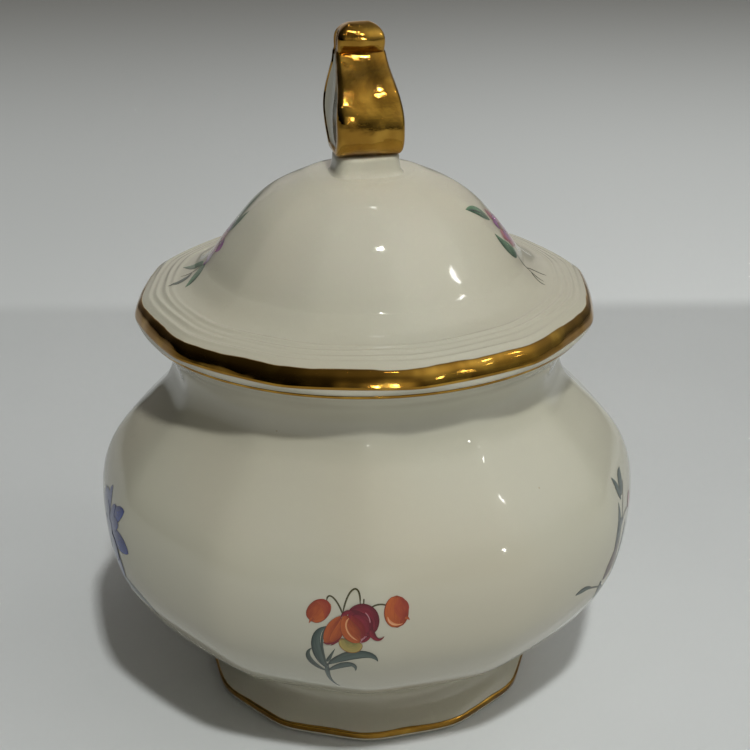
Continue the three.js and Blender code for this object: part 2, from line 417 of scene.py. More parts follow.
def glaze(name, finishes, bands=(), bare=None):
    """Ivory gloss glaze with gilded bands, each low, high, least radius and wander in mm.

    bare is the height below which the clay has no glaze."""
    tree, material = new_material(name)
    place = node(tree, "ShaderNodeTexCoord").outputs["Object"]
    split = node(tree, "ShaderNodeSeparateXYZ", {0: place}).outputs
    flat = node(tree, "ShaderNodeCombineXYZ", {0: split[0], 1: split[1]}).outputs[0]
    radius = node(tree, "ShaderNodeVectorMath", {0: flat}, operation="LENGTH").outputs["Value"]
    pool = grain(tree, place, 26, 1.0)
    wave = grain(tree, place, 55, 1.0)
    colour = blend_colour(tree, between(tree, pool, 0.35, 0.65), finishes.ivory, finishes.ivory_warm)
    speck = node(tree, "ShaderNodeTexVoronoi", {"Vector": place, "Scale": 260.0}).outputs
    chosen = calc(tree, "GREATER_THAN", node(
        tree, "ShaderNodeSeparateColor", {0: speck["Color"]}).outputs[0], 0.975)
    dot = calc(tree, "MULTIPLY", between(tree, speck["Distance"], 0.03, 0.07, 1.0, 0.0), chosen)
    colour = blend_colour(tree, calc(tree, "MULTIPLY", dot, 0.55), colour, SPECK_COLOUR)
    rough = between(tree, wave, 0.3, 0.7, finishes.glaze_gloss * 0.8, finishes.glaze_gloss * 1.25)
    metal = None
    bump_height = wave
    if bands:
        wobble = calc(tree, "SUBTRACT", grain(tree, flat, 95, 2.0), 0.5)
        for band in bands:
            mask = gilt_band(tree, split[2], wobble, radius, band)
            metal = mask if metal is None else calc(tree, "MAXIMUM", metal, mask)
        film = grain(tree, place, 420, 3.0)
        patches = grain(tree, place, 190, 2.0)
        gold = blend_colour(tree, between(tree, patches, 0.30, 0.54), finishes.gold, finishes.gold_worn)
        colour = blend_colour(tree, metal, colour, gold)
        gold_rough = between(tree, film, 0.3, 0.7, finishes.gold_gloss * 0.6, finishes.gold_gloss * 1.5)
        rough = node(tree, "ShaderNodeMix", {0: metal, 2: rough, 3: gold_rough}).outputs[0]
        ripple = calc(tree, "MULTIPLY", grain(tree, place, 125, 1.0), 2.0)
        bump_height = calc(tree, "ADD", bump_height, calc(tree, "MULTIPLY", ripple, metal))
    if bare is not None:
        clay = between(tree, split[2], bare * MM, (bare + 0.15) * MM, 1.0, 0.0)
        colour = blend_colour(tree, clay, colour, BARE_CLAY)
        rough = node(tree, "ShaderNodeMix", {0: clay, 2: rough, 3: 0.6}).outputs[0]
    bump = node(tree, "ShaderNodeBump", {
        "Height": bump_height, "Strength": 0.32, "Distance": 0.9 * MM}).outputs[0]
    shader = node(tree, "ShaderNodeBsdfPrincipled", {
        "Base Color": colour, "Roughness": rough, "IOR": 1.52, "Normal": bump})
    if metal is not None:
        tree.links.new(metal, shader.inputs["Metallic"])
    close_up(tree, shader.outputs[0])
    return material


def gilding(name, finishes):
    """Polished gold film that follows the small unevenness of the porcelain under it."""
    tree, material = new_material(name)
    place = node(tree, "ShaderNodeTexCoord").outputs["Object"]
    dents = grain(tree, place, 165, 0.0)
    patches = grain(tree, place, 170, 2.0)
    film = grain(tree, place, 700, 3.0)
    worn = between(tree, grain(tree, place, 260, 4.0), 0.52, 0.66)
    colour = blend_colour(tree, between(tree, patches, 0.36, 0.64), finishes.gold, finishes.gold_worn)
    colour = blend_colour(tree, calc(tree, "MULTIPLY", worn, 0.3), colour, WORN_GILDING)
    rough = between(tree, film, 0.3, 0.7, finishes.gold_gloss * 0.55, finishes.gold_gloss * 1.6)
    height = calc(tree, "ADD", dents, calc(tree, "MULTIPLY", film, 0.05))
    bump = node(tree, "ShaderNodeBump", {
        "Height": height, "Strength": 0.75, "Distance": 1.7 * MM}).outputs[0]
    shader = node(tree, "ShaderNodeBsdfPrincipled", {
        "Base Color": colour, "Metallic": 1.0, "Roughness": rough, "Normal": bump})
    close_up(tree, shader.outputs[0])
    return material


def paint(name, light, deep, rim=None, rim_start=0.72, streak=0.5, fade=0.0):
    """Printed colour under the gloss: light in the middle of a stroke, deep where it thickens."""
    tree, material = new_material(name)
    stroke = node(tree, "ShaderNodeUVMap", uv_map="stroke").outputs[0]
    parts = node(tree, "ShaderNodeSeparateXYZ", {0: stroke}).outputs
    across = node(tree, "ShaderNodeMath", {0: parts[1], 1: 2.0, 2: -1.0},
                  operation="MULTIPLY_ADD").outputs[0]
    side = calc(tree, "ABSOLUTE", across)
    hairs = grain(tree, stroke, 3.0, 3.0, (1.0, 7.0, 1.0))
    shade = calc(tree, "ADD", calc(tree, "MULTIPLY", calc(tree, "SUBTRACT", hairs, 0.5), streak * 2.4),
                 calc(tree, "MULTIPLY", across, 0.38))
    shade = calc(tree, "ADD", shade, between(tree, parts[0], 0.0, 1.0, 0.45 + fade, 0.45 - fade))
    colour = blend_colour(tree, between(tree, shade, 0.05, 0.95), light, deep)
    if rim:
        edge = between(tree, side, rim_start, 0.96)
        ends = calc(tree, "MAXIMUM", between(tree, parts[0], 0.10, 0.0), between(tree, parts[0], 0.92, 1.0))
        colour = blend_colour(tree, calc(tree, "MAXIMUM", edge, ends), colour, rim)
    shader = node(tree, "ShaderNodeBsdfPrincipled", {
        "Base Color": colour, "Roughness": 0.10, "IOR": 1.52})
    close_up(tree, shader.outputs[0])
    return material


# ---------------------------------------------------------------- porcelain


def settings():
    """The sizes and the finishes of this scene."""
    return bpy.context.scene.sugar_bowl_sizes, bpy.context.scene.sugar_bowl_finishes


def bowl_depth(sizes):
    """How deep the lobes of the bowl are at a radius and height."""
    def depth(radius, height):
        above = 1 - ramp(height, RIM_HEIGHT - 8, RIM_HEIGHT - 1)
        return sizes.belly_lobe * ramp(radius, 24, 34) * above
    return depth


def lid_depth(sizes):
    """How deep the lobes of the lid are at a radius and height."""
    def depth(radius, height):
        edge = sizes.brim_lobe * ramp(radius, 37, 42) * ramp(height, RIM_HEIGHT, RIM_HEIGHT + 1.4)
        dome = sizes.dome_lobe * ramp(radius, 12, 20) * ramp(height, RIM_HEIGHT + 0.5, RIM_HEIGHT + 1.5)
        return edge + dome * (1 - ramp(radius, 37, 42))
    return depth


def turn_lid(bm, sizes):
    """Turns a piece of the lid to where the lid rests."""
    bmesh.ops.rotate(bm, cent=(0, 0, 0), verts=bm.verts,
                     matrix=Matrix.Rotation(sizes.lid_turn, 3, "Z"))


class SUGARBOWL_OT_bowl(Operator):
    """Turn the bowl and press its lobes"""

    bl_idname = "sugarbowl.bowl"
    bl_label = "Bowl"

    def execute(self, context):
        sizes, finishes = settings()
        bm = turned(bowl_outline(), sizes.steps)
        scallop(bm, sizes.lobes, bowl_depth(sizes), softness=0.22)
        uneven(bm, 0.12 * MM, 14 * MM)
        look = glaze("bowl_ivory_glaze", finishes,
                     bands=[(RIM_HEIGHT - 0.6, RIM_HEIGHT + 0.2, 41.9, 0.25)])
        piece = finished(bm, "bowl_shell", [look])
        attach(piece, BOWL_BODY)
        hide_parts("bowl")
        return {"FINISHED"}


class SUGARBOWL_OT_foot(Operator):
    """Turn the foot ring with its gilded line"""

    bl_idname = "sugarbowl.foot"
    bl_label = "Foot ring"

    def execute(self, context):
        sizes, finishes = settings()
        bm = turned(foot_outline(), sizes.steps)

        def depth(radius, height):
            return sizes.foot_lobe * ramp(radius, 25, 31) * (1 - 0.5 * ramp(height, 2, FOOT_HEIGHT))

        scallop(bm, sizes.lobes, depth, softness=0.45)
        look = glaze("foot_ivory_glaze", finishes, bands=[(1.2, 2.5, 31.0, 0.6)], bare=0.12)
        piece = finished(bm, "foot_ring_shell", [look])
        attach(piece, BOWL_BODY)
        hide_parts("foot_ring")
        return {"FINISHED"}


class SUGARBOWL_OT_lid(Operator):
    """Turn the lid with its ribbed brim and gilded edge"""

    bl_idname = "sugarbowl.lid"
    bl_label = "Lid"

    def execute(self, context):
        sizes, finishes = settings()
        bm = turned(lid_outline(), sizes.steps)
        raise_ribs(bm, sizes.rib_height)
        scallop(bm, sizes.lobes, lid_depth(sizes), softness=0.16)
        turn_lid(bm, sizes)
        look = glaze("lid_ivory_glaze", finishes,
                     bands=[(RIM_HEIGHT + 1.35, RIM_HEIGHT + 4.5, 40.5, 0.75)])
        piece = finished(bm, "lid_shell", [look])
        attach(piece, LID_BODY)
        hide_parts("lid")
        return {"FINISHED"}


class SUGARBOWL_OT_collar(Operator):
    """Turn the locating collar under the lid"""

    bl_idname = "sugarbowl.collar"
    bl_label = "Lid collar"

    def execute(self, context):
        sizes, finishes = settings()
        bm = turned(collar_outline(), sizes.steps // 2)
        piece = finished(bm, "lid_collar_ring", [glaze("collar_ivory_glaze", finishes, bare=COLLAR_FOOT)])
        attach(piece, LID_BODY)
        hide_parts("lid_collar")
        return {"FINISHED"}


# ---------------------------------------------------------------- knob

PLINTH_WIDTH = 12.0
PLINTH_LENGTH = 9.4
PLINTH_FORWARD = 1.5
SCROLL_WIDTH = 12.4
SCROLL_NECK_WIDTH = 9.2
SCROLL_EDGE = 0.9
CURL_WIDTH = 8.8
CURL_HEIGHT = 17.6
CURL_MIDDLE = -3.1


class SUGARBOWL_OT_plinth(Operator):
    """Shape the small block under the scroll"""

    bl_idname = "sugarbowl.plinth"
    bl_label = "Knob plinth"

    def execute(self, context):
        sizes, finishes = settings()
        bm = bmesh.new()
        bmesh.ops.create_circle(bm, cap_ends=False, segments=96, radius=1.0)
        for v in bm.verts:
            turn = math.atan2(v.co.y, v.co.x)
            c, s = math.cos(turn), math.sin(turn)
            power = 2 / 3.7
            v.co = Vector((math.copysign(abs(c) ** power, c) * PLINTH_WIDTH / 2 * MM,
                           math.copysign(abs(s) ** power, s) * PLINTH_LENGTH / 2 * MM,
                           (CROWN_HEIGHT - 0.35) * MM))
        rings = [(CROWN_HEIGHT - 0.5, 1.2), (CROWN_HEIGHT - 0.12, 1.0), (CROWN_HEIGHT + 0.1, 0.68),
                 (CROWN_HEIGHT + 0.35, 0.45), (CROWN_HEIGHT + 0.8, 0.22), (CROWN_HEIGHT + 1.6, 0.05),
                 (CROWN_HEIGHT + 2.6, -0.05), (PLINTH_TOP - 0.35, -0.1), (PLINTH_TOP - 0.1, -0.25),
                 (PLINTH_TOP + 0.15, -0.7)]
        base = [v.co.copy() for v in bm.verts]
        order = list(bm.verts)
        edges = list(bm.edges)
        for index, (height, grow) in enumerate(rings):
            if index:
                made = bmesh.ops.extrude_edge_only(bm, edges=edges)["geom"]
                order = [v for v in made if isinstance(v, bmesh.types.BMVert)]
                edges = [e for e in made if isinstance(e, bmesh.types.BMEdge)
                         and all(v in order for v in e.verts)]
            for v, start in zip(order, base):
                flat = Vector((start.x, start.y))
                v.co.xy = flat + flat.normalized() * grow * MM
                v.co.z = height * MM
        bmesh.ops.holes_fill(bm, edges=[e for e in bm.edges if e.is_boundary], sides=0)
        bmesh.ops.translate(bm, verts=bm.verts, vec=(0, -PLINTH_FORWARD * MM, 0))
        turn_lid(bm, sizes)
        bmesh.ops.recalc_face_normals(bm, faces=bm.faces)
        piece = finished(bm, "finial_plinth", [glaze("plinth_ivory_glaze", finishes)], sharp=60)
        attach(piece, LID_BODY)
        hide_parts("finial_base")
        return {"FINISHED"}


def bezier(a, b, c, d, parts):
    """Points of a cubic from a to d, without its last one."""
    a, b, c, d = (Vector(p) for p in (a, b, c, d))
    line = []
    for k in range(parts):
        t = k / parts
        s = 1 - t
        line.append(a * s ** 3 + b * 3 * s * s * t + c * 3 * s * t * t + d * t ** 3)
    return line


def scroll_outline():
    """The scroll from the side: to the front, and up from the plinth."""
    bends = [
        ((4.6, 0), (6.4, 0.4), (7.7, 1.8), (7.9, 3.8)),
        ((7.9, 3.8), (8.1, 6), (7.7, 8.2), (6.7, 10.2)),
        ((6.7, 10.2), (5.8, 12), (4.2, 13.3), (2.6, 14.4)),
        ((2.6, 14.4), (1, 15.5), (-0.2, 16.4), (-1, CURL_HEIGHT)),
        ((-1, CURL_HEIGHT), (0.5, 18.4), (0.8, 20.1), (-0.1, 21.3)),
        ((-0.1, 21.3), (-1, 22.4), (-2.3, 22.8), (-3.5, 22.8)),
        ((-3.5, 22.8), (-6, 22.8), (-6.9, 20.9), (-6.6, 19.2)),
        ((-6.6, 19.2), (-6.4, 17.9), (-6, 17.1), (-6.4, 15.9)),
        ((-6.4, 15.9), (-7.6, 14.4), (-8.9, 11.8), (-8.9, 9)),
        ((-8.9, 9), (-8.9, 5.4), (-5.8, 2), (-2.2, 0)),
    ]
    line = []
    for bend in bends:
        line += bezier(*bend, 9)
    return line + [Vector((-2.2, 0)), Vector((0, 0)), Vector((2.4, 0))]


class SUGARBOWL_OT_scroll(Operator):
    """Cut the scroll, round its edges and gild it"""

    bl_idname = "sugarbowl.scroll"
    bl_label = "Knob scroll"

    def execute(self, context):
        sizes, finishes = settings()
        edge = SCROLL_EDGE
        half = SCROLL_WIDTH / 2 - edge
        bm = bmesh.new()
        loop = [bm.verts.new((-half * MM, -p.x * MM, p.y * MM)) for p in scroll_outline()]
        side = bm.faces.new(loop)
        made = bmesh.ops.extrude_face_region(bm, geom=[side])["geom"]
        far = [v for v in made if isinstance(v, bmesh.types.BMVert)]
        bmesh.ops.translate(bm, verts=far, vec=(2 * half * MM, 0, 0))
        bmesh.ops.recalc_face_normals(bm, faces=bm.faces)
        flats = [f for f in bm.faces if len(f.verts) > 8]
        rounds = 5
        for k in range(rounds):
            low, high = (math.pi / 2 * t / rounds for t in (k, k + 1))
            bmesh.ops.inset_region(
                bm, faces=flats, use_even_offset=True, use_boundary=True,
                thickness=edge * (math.cos(low) - math.cos(high)) * MM,
                depth=edge * (math.sin(high) - math.sin(low)) * MM)
        for thickness, depth in ((0.45, 0.0), (0.12, -0.12), (0.2, -0.12)):
            bmesh.ops.inset_region(bm, faces=flats, use_even_offset=True, use_boundary=True,
                                   thickness=thickness * MM, depth=depth * MM)
        for face in flats:
            face.material_index = 1
        for k in range(1, 46):
            bmesh.ops.bisect_plane(bm, geom=bm.verts[:] + bm.edges[:] + bm.faces[:],
                                   dist=0.001 * MM, plane_co=(0, 0, k * 0.5 * MM), plane_no=(0, 0, 1))
        for k in range(-5, 6):
            bmesh.ops.bisect_plane(bm, geom=bm.verts[:] + bm.edges[:] + bm.faces[:],
                                   dist=0.001 * MM, plane_co=(k * 0.95 * MM, 0, 0), plane_no=(1, 0, 0))
        for v in bm.verts:
            across, ahead, up = v.co.x / MM, -v.co.y / MM, v.co.z / MM
            share = across / (SCROLL_WIDTH / 2)
            in_curl = ramp(up, CURL_HEIGHT - 0.5, CURL_HEIGHT + 0.9)
            barrel = 1 - (0.05 + 0.26 * in_curl) * share ** 2
            ahead = CURL_MIDDLE + (ahead - CURL_MIDDLE) * barrel
            stem = SCROLL_WIDTH + (SCROLL_NECK_WIDTH - SCROLL_WIDTH) * ramp(up, 6, 18)
            width = stem + (CURL_WIDTH - stem) * ramp(up, 17.2, 18.2)
            crown = math.sqrt(1 - 0.80 * min(max((up - 18.8) / 4, 0), 1) ** 3)
            v.co = Vector((share * width / 2 * crown * MM, -ahead * MM, (up + PLINTH_TOP) * MM))
        turn_lid(bm, sizes)
        bmesh.ops.remove_doubles(bm, verts=bm.verts, dist=0.002 * MM)
        bmesh.ops.recalc_face_normals(bm, faces=bm.faces)
        for face in bm.faces:
            if face.calc_center_median().z > (PLINTH_TOP + CURL_HEIGHT - 0.6) * MM:
                face.material_index = 0
        piece = finished(bm, "finial_scroll_knob", [
            gilding("knob_gold", finishes), glaze("knob_ivory_glaze", finishes)], sharp=50)
        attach(piece, LID_BODY)
        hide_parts("finial_scroll")
        return {"FINISHED"}


# ---------------------------------------------------------------- flower sprigs


def leaf_shape(t):
    """Half width of a leaf, pointed at both ends."""
    return math.sin(math.pi * t ** 0.85) ** 0.85


def petal_shape(t):
    """Half width of a petal, fullest beyond its middle."""
    return math.sin(math.pi * t ** 1.25) ** 0.62


def bud_shape(t):
    """Half width of a round bud."""
    return math.sqrt(max(1 - (2 * t - 1) ** 2, 0))


def stem_shape(t):
    """Half width of a stem, even but for its two ends."""
    return min(1, 0.35 + 6 * t, 0.25 + 6 * (1 - t))


def tail_shape(t):
    """Half width of a stroke that runs out to a point."""
    return (1 - t) ** 0.75 * min(1, 0.4 + 3 * t)


# half width along a stroke, t from 0 at its start to 1 at its end
SHAPES = {"leaf": leaf_shape, "petal": petal_shape, "bud": bud_shape, "stem": stem_shape,
          "tail": tail_shape}


class Sprig:
    """Strokes of one print, drawn flat in millimetres and then laid on the wall."""

    def __init__(self, palette):
        self.palette = palette
        self.names = list(palette)
        self.bm = bmesh.new()
        self.uv = self.bm.loops.layers.uv.new("stroke")
        self.level = self.bm.verts.layers.float.new("level")
        self.count = 0
        self.move = Vector((0, 0))
        self.size = 1.0

    def stroke(self, colour, width, points, shape="leaf", lean=0.0, long=18, wide=6):
        """One brush stroke along two to four points, and that wide at its widest."""
        points = [Vector(p) for p in points]
        if len(points) == 2:
            points = [points[0], points[0].lerp(points[1], 0.5), points[1]]
        if len(points) == 3:
            a, b, c = points
            points = [a, a.lerp(b, 2 / 3), c.lerp(b, 2 / 3), c]
        a, b, c, d = points
        self.count += 1
        made = bmesh.ops.create_grid(self.bm, x_segments=long, y_segments=wide, size=1.0, calc_uvs=True)
        for v in made["verts"]:
            t, side = (v.co.x + 1) / 2, v.co.y
            s = 1 - t
            here = a * s ** 3 + b * 3 * s * s * t + c * 3 * s * t * t + d * t ** 3
            way = (b - a) * 3 * s * s + (c - b) * 6 * s * t + (d - c) * 3 * t * t
            way = way.normalized() if way.length > 1e-6 else (d - a).normalized()
            half = max(width / 2 * SHAPES[shape](t), 0.02)
            here = here + Vector((-way.y, way.x)) * side * half * (1 + lean * side)
            here = here * self.size + self.move
            v.co = Vector((here.x, here.y, 0))
            v[self.level] = self.count
        faces = {f for v in made["verts"] for f in v.link_faces}
        for face in faces:
            face.material_index = self.names.index(colour)
        return faces

    def lay(self, name, wall, where, height, onto, body):
        """Lays the strokes on the wall with their origin at that azimuth and height."""
        lengths = [0.0]
        for p, q in zip(wall, wall[1:]):
            lengths.append(lengths[-1] + (q - p).length)
        start = next(l for l, p in zip(lengths, wall) if p.y >= height)
        for v in self.bm.verts:
            along = min(max(start + v.co.y, 0.001), lengths[-1] - 0.001)
            index = next(i for i, l in enumerate(lengths) if l > along)
            p, q = wall[index - 1], wall[index]
            here = p.lerp(q, (along - lengths[index - 1]) / (lengths[index] - lengths[index - 1]))
            rise = (q - p).normalized()
            out = Vector((rise.y, -rise.x))
            if out.x < 0:
                out = -out
            turn = where + v.co.x / here.x
            radial = Vector((math.sin(turn), -math.cos(turn), 0))
            outward = radial * out.x + Vector((0, 0, out.y))
            point = (radial * here.x + Vector((0, 0, here.y))) * MM
            hit = onto.ray_cast(point + outward * 4 * MM, -outward, 8 * MM)
            surface = hit[0] if hit[0] is not None else point
            v.co = surface + outward * (0.018 + 0.0035 * v[self.level]) * MM
        bmesh.ops.recalc_face_normals(self.bm, faces=self.bm.faces)
        bmesh.ops.solidify(self.bm, geom=self.bm.faces[:], thickness=0.003 * MM)
        bmesh.ops.recalc_face_normals(self.bm, faces=self.bm.faces)
        piece = finished(self.bm, name, [self.palette[n] for n in self.names])
        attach(piece, body)
        return piece


def wall_of(name):
    """The surface of a finished piece, to lay prints on."""
    return BVHTree.FromObject(bpy.data.objects[name], bpy.context.evaluated_depsgraph_get())


def paints(*names):
    """Some of the printed colours by name."""
    found = {}
    for name in names:
        ready = bpy.data.materials.get("print_" + name)
        found[name] = ready or PAINTS[name](name)
    return found


def paint_maker(light, deep, rim=None, rim_start=0.84, streak=0.5, fade=0.0):
    """A function that makes one printed colour when it is first used."""
    return lambda name: paint("print_" + name, light, deep, rim, rim_start, streak, fade)


PAINTS = {
    "stem": paint_maker((0.085, 0.075, 0.035), (0.035, 0.032, 0.016)),
    "leaf": paint_maker((0.080, 0.108, 0.094), (0.028, 0.043, 0.037), (0.018, 0.027, 0.022), 0.70),
    "leaf_dark": paint_maker((0.07, 0.09, 0.075), (0.025, 0.035, 0.027)),
    "leaf_green": paint_maker((0.10, 0.19, 0.11), (0.025, 0.06, 0.035)),
    "rust": paint_maker((0.30, 0.050, 0.014), (0.21, 0.020, 0.009)),
    "orange": paint_maker((0.38, 0.080, 0.013), (0.21, 0.026, 0.007), (0.17, 0.03, 0.01), 0.86),
    "glow": paint_maker((0.62, 0.30, 0.14), (0.48, 0.17, 0.06)),
    "red": paint_maker((0.24, 0.022, 0.012), (0.14, 0.006, 0.008)),
    "crimson": paint_maker((0.20, 0.010, 0.022), (0.08, 0.002, 0.009), (0.08, 0.002, 0.008), 0.87),
    "pink": paint_maker((0.44, 0.20, 0.22), (0.28, 0.07, 0.10)),
    "olive": paint_maker((0.34, 0.26, 0.07), (0.15, 0.14, 0.04), (0.20, 0.07, 0.015), 0.82),
    "blue": paint_maker((0.042, 0.068, 0.25), (0.012, 0.020, 0.12), (0.010, 0.016, 0.11), 0.87),
    "lavender": paint_maker((0.16, 0.18, 0.34), (0.09, 0.11, 0.26)),
    "purple": paint_maker((0.24, 0.10, 0.29), (0.10, 0.03, 0.15)),
    "umber": paint_maker((0.17, 0.125, 0.105), (0.075, 0.05, 0.045)),
    "mauve": paint_maker((0.34, 0.15, 0.31), (0.18, 0.05, 0.18)),
}


def draw_leaves(sprig):
    """A tuft of long curling leaves on a short tail, growing from (0, 0)."""
    sprig.stroke("leaf", 1.1, [(0.1, 2.2), (-0.2, -1.6), (0.4, -5.6), (2.3, -7.2)], "tail")
    sprig.stroke("leaf_dark", 0.9, [(0.1, 2.8), (0.7, 4.6), (1.6, 6.6)], "tail")
    sprig.stroke("leaf_dark", 1.1, [(0.1, -0.6), (-1.8, 0.6), (-4.6, 4.4), (-2.4, 6.2)], "leaf", 0.3)
    sprig.stroke("leaf", 1.8, [(-0.1, 0.6), (-1.2, 4.0), (-3.2, 10.0), (0.5, 11.4)], "leaf", 0.2)
    sprig.stroke("leaf_dark", 0.42, [(0.0, 1.4), (-0.5, 5.0), (-1.5, 9.6), (0.5, 11.3)], "stem")
    sprig.stroke("leaf", 2.1, [(0.2, 1.8), (2.2, 5.4), (8.2, 7.6), (9.0, 3.6)], "leaf", -0.1)
    sprig.stroke("leaf_dark", 0.8, [(0.7, 2.8), (2.4, 5.4), (4.2, 6.2), (6.0, 6.5)], "leaf")
    sprig.stroke("leaf", 1.5, [(0.2, -0.4), (1.8, 2.4), (5.6, 4.6), (5.1, 0.6)], "leaf", -0.2)


class SUGARBOWL_OT_front_sprig(Operator):
    """Print the bell flower with two buds on the front of the bowl"""

    bl_idname = "sugarbowl.front_sprig"
    bl_label = "Front sprig"

    def execute(self, context):
        sprig = Sprig(paints("leaf", "leaf_dark", "stem", "orange", "rust", "glow", "red", "crimson",
                             "pink", "olive"))
        sprig.move = Vector((-7.1, 7.6))
        draw_leaves(sprig)
        sprig.move = Vector((0, 0))
        sprig.stroke("stem", 0.32, [(-4.0, 21.4), (-4.7, 24.4), (-6.7, 26.2), (-6.8, 23.8)], "stem")
        sprig.stroke("stem", 0.32, [(-4.1, 21.4), (-3.2, 27.4), (-0.6, 28.0), (-1.1, 23.2)], "stem")
        sprig.stroke("stem", 0.26, [(-0.4, 24.7), (-0.5, 23.2)], "stem")
        sprig.stroke("stem", 0.32, [(0.5, 22.8), (1.4, 23.7), (2.7, 23.8), (3.6, 23.2)], "stem")
        sprig.stroke("crimson", 0.22, [(-4.6, 16.4), (-5.4, 15.4), (-6.3, 14.9)], "stem")
        sprig.stroke("crimson", 0.22, [(-4.4, 16.4), (-4.3, 15.2), (-3.9, 14.5)], "stem")
        # left bud
        sprig.stroke("orange", 3.7, [(-9.7, 19.7), (-9.0, 20.8), (-7.4, 22.6), (-6.6, 24.0)], "bud", 0.08)
        sprig.stroke("rust", 1.7, [(-8.6, 23.6), (-6.9, 24.0), (-6.5, 22.6), (-7.2, 20.4)], "leaf")
        sprig.stroke("orange", 0.7, [(-9.2, 20.4), (-9.8, 19.9), (-10.0, 19.2)], "tail")
        # right bud
        sprig.stroke("orange", 4.3, [(5.2, 25.0), (5.0, 23.0), (5.1, 20.8), (5.3, 18.8)], "bud")
        sprig.stroke("rust", 2.6, [(5.6, 24.6), (6.3, 22.4), (5.9, 20.2)], "leaf")
        sprig.stroke("glow", 0.5, [(3.6, 21.2), (3.8, 19.8), (5.0, 19.1), (6.2, 19.6)], "leaf")
        sprig.stroke("orange", 0.8, [(6.6, 20.8), (7.1, 20.6), (7.4, 20.1)], "tail")
        # bell flower
        sprig.stroke("olive", 2.7, [(-4.3, 16.8), (-3.8, 14.6), (-1.8, 14.2), (-1.2, 16.2)], "bud")
        sprig.stroke("pink", 1.2, [(-0.5, 18.4), (-0.5, 17.2), (-1.0, 16.0)], "petal")
        sprig.stroke("crimson", 0.7, [(-1.0, 16.2), (-0.2, 16.4), (0.5, 17.4), (0.9, 18.2)], "leaf")
        sprig.stroke("crimson", 2.5, [(-3.2, 21.9), (-1.2, 23.6), (1.6, 22.6), (1.2, 18.0)], "petal", 0.15)
        sprig.stroke("crimson", 3.2, [(-3.0, 22.2), (-1.4, 21.2), (-0.2, 19.4), (0.4, 17.4)], "bud")
        sprig.stroke("crimson", 2.2, [(-2.4, 21.6), (-0.8, 21.8), (0.5, 20.6), (0.2, 17.9)], "petal")
        sprig.stroke("red", 2.2, [(-2.6, 21.6), (-1.8, 20.4), (-1.0, 18.6), (-0.9, 16.9)], "petal")
        sprig.stroke("crimson", 1.3, [(0.8, 19.0), (0.9, 16.8), (2.2, 16.0), (3.0, 17.3)], "tail")
        sprig.stroke("pink", 0.18, [(-0.2, 22.2), (0.6, 21.4), (0.6, 20.2)], "stem")
        sprig.stroke("orange", 2.3, [(-4.0, 21.5), (-7.2, 19.4), (-5.8, 15.8), (-7.5, 15.3)], "petal", 0.1)
        sprig.stroke("orange", 1.9, [(-4.2, 21.0), (-4.4, 18.8), (-5.4, 16.6), (-6.3, 15.7)], "petal")
        sprig.stroke("crimson", 0.3, [(-7.6, 15.4), (-6.6, 15.1), (-5.4, 15.4), (-4.6, 16.8)], "stem")
        sprig.stroke("orange", 3.3, [(-3.6, 21.9), (-3.7, 19.6), (-2.8, 17.0), (-1.0, 16.4)], "petal", 0.1)
        sprig.stroke("glow", 0.3, [(-3.0, 21.0), (-4.1, 19.6), (-3.2, 17.4), (-1.6, 16.6)], "stem")
        sprig.stroke("crimson", 0.8, [(-4.4, 21.2), (-3.3, 22.4), (-2.4, 22.4)], "leaf")
        sprig.lay("front_sprig_print", belly_wall(), 0.0, 21.9, wall_of("bowl_shell"),
                  BOWL_BODY)
        return {"FINISHED"}


def draw_bloom(sprig, petals, length, width, outer, inner, heart, flat=1.0):
    """A round flower at the print's own place: outer petals, paler inner ones and a heart."""
    for ring, (share, colour) in enumerate(((1.0, outer), (0.68, inner))):
        for k in range(petals):
            angle = math.tau * (k + 0.5 * ring) / petals + 0.35 * math.sin(2.3 * k + ring)
            reach = length * share * (1 + 0.14 * math.sin(3.7 * k + 1.1))
            tip = Vector((math.cos(angle) * reach, math.sin(angle) * reach * flat))
            bend = Vector((-tip.y, tip.x)) * 0.16
            sprig.stroke(colour, width * (0.9 + 0.2 * math.sin(1.9 * k)) * (1 - 0.25 * ring),
                         [tip * 0.1, tip * 0.55 + bend, tip], "petal", 0.12 * math.sin(2.7 * k))
    sprig.stroke(heart, length * 0.42, [(-length * 0.2, 0), (0, length * 0.04), (length * 0.2, 0)], "bud")


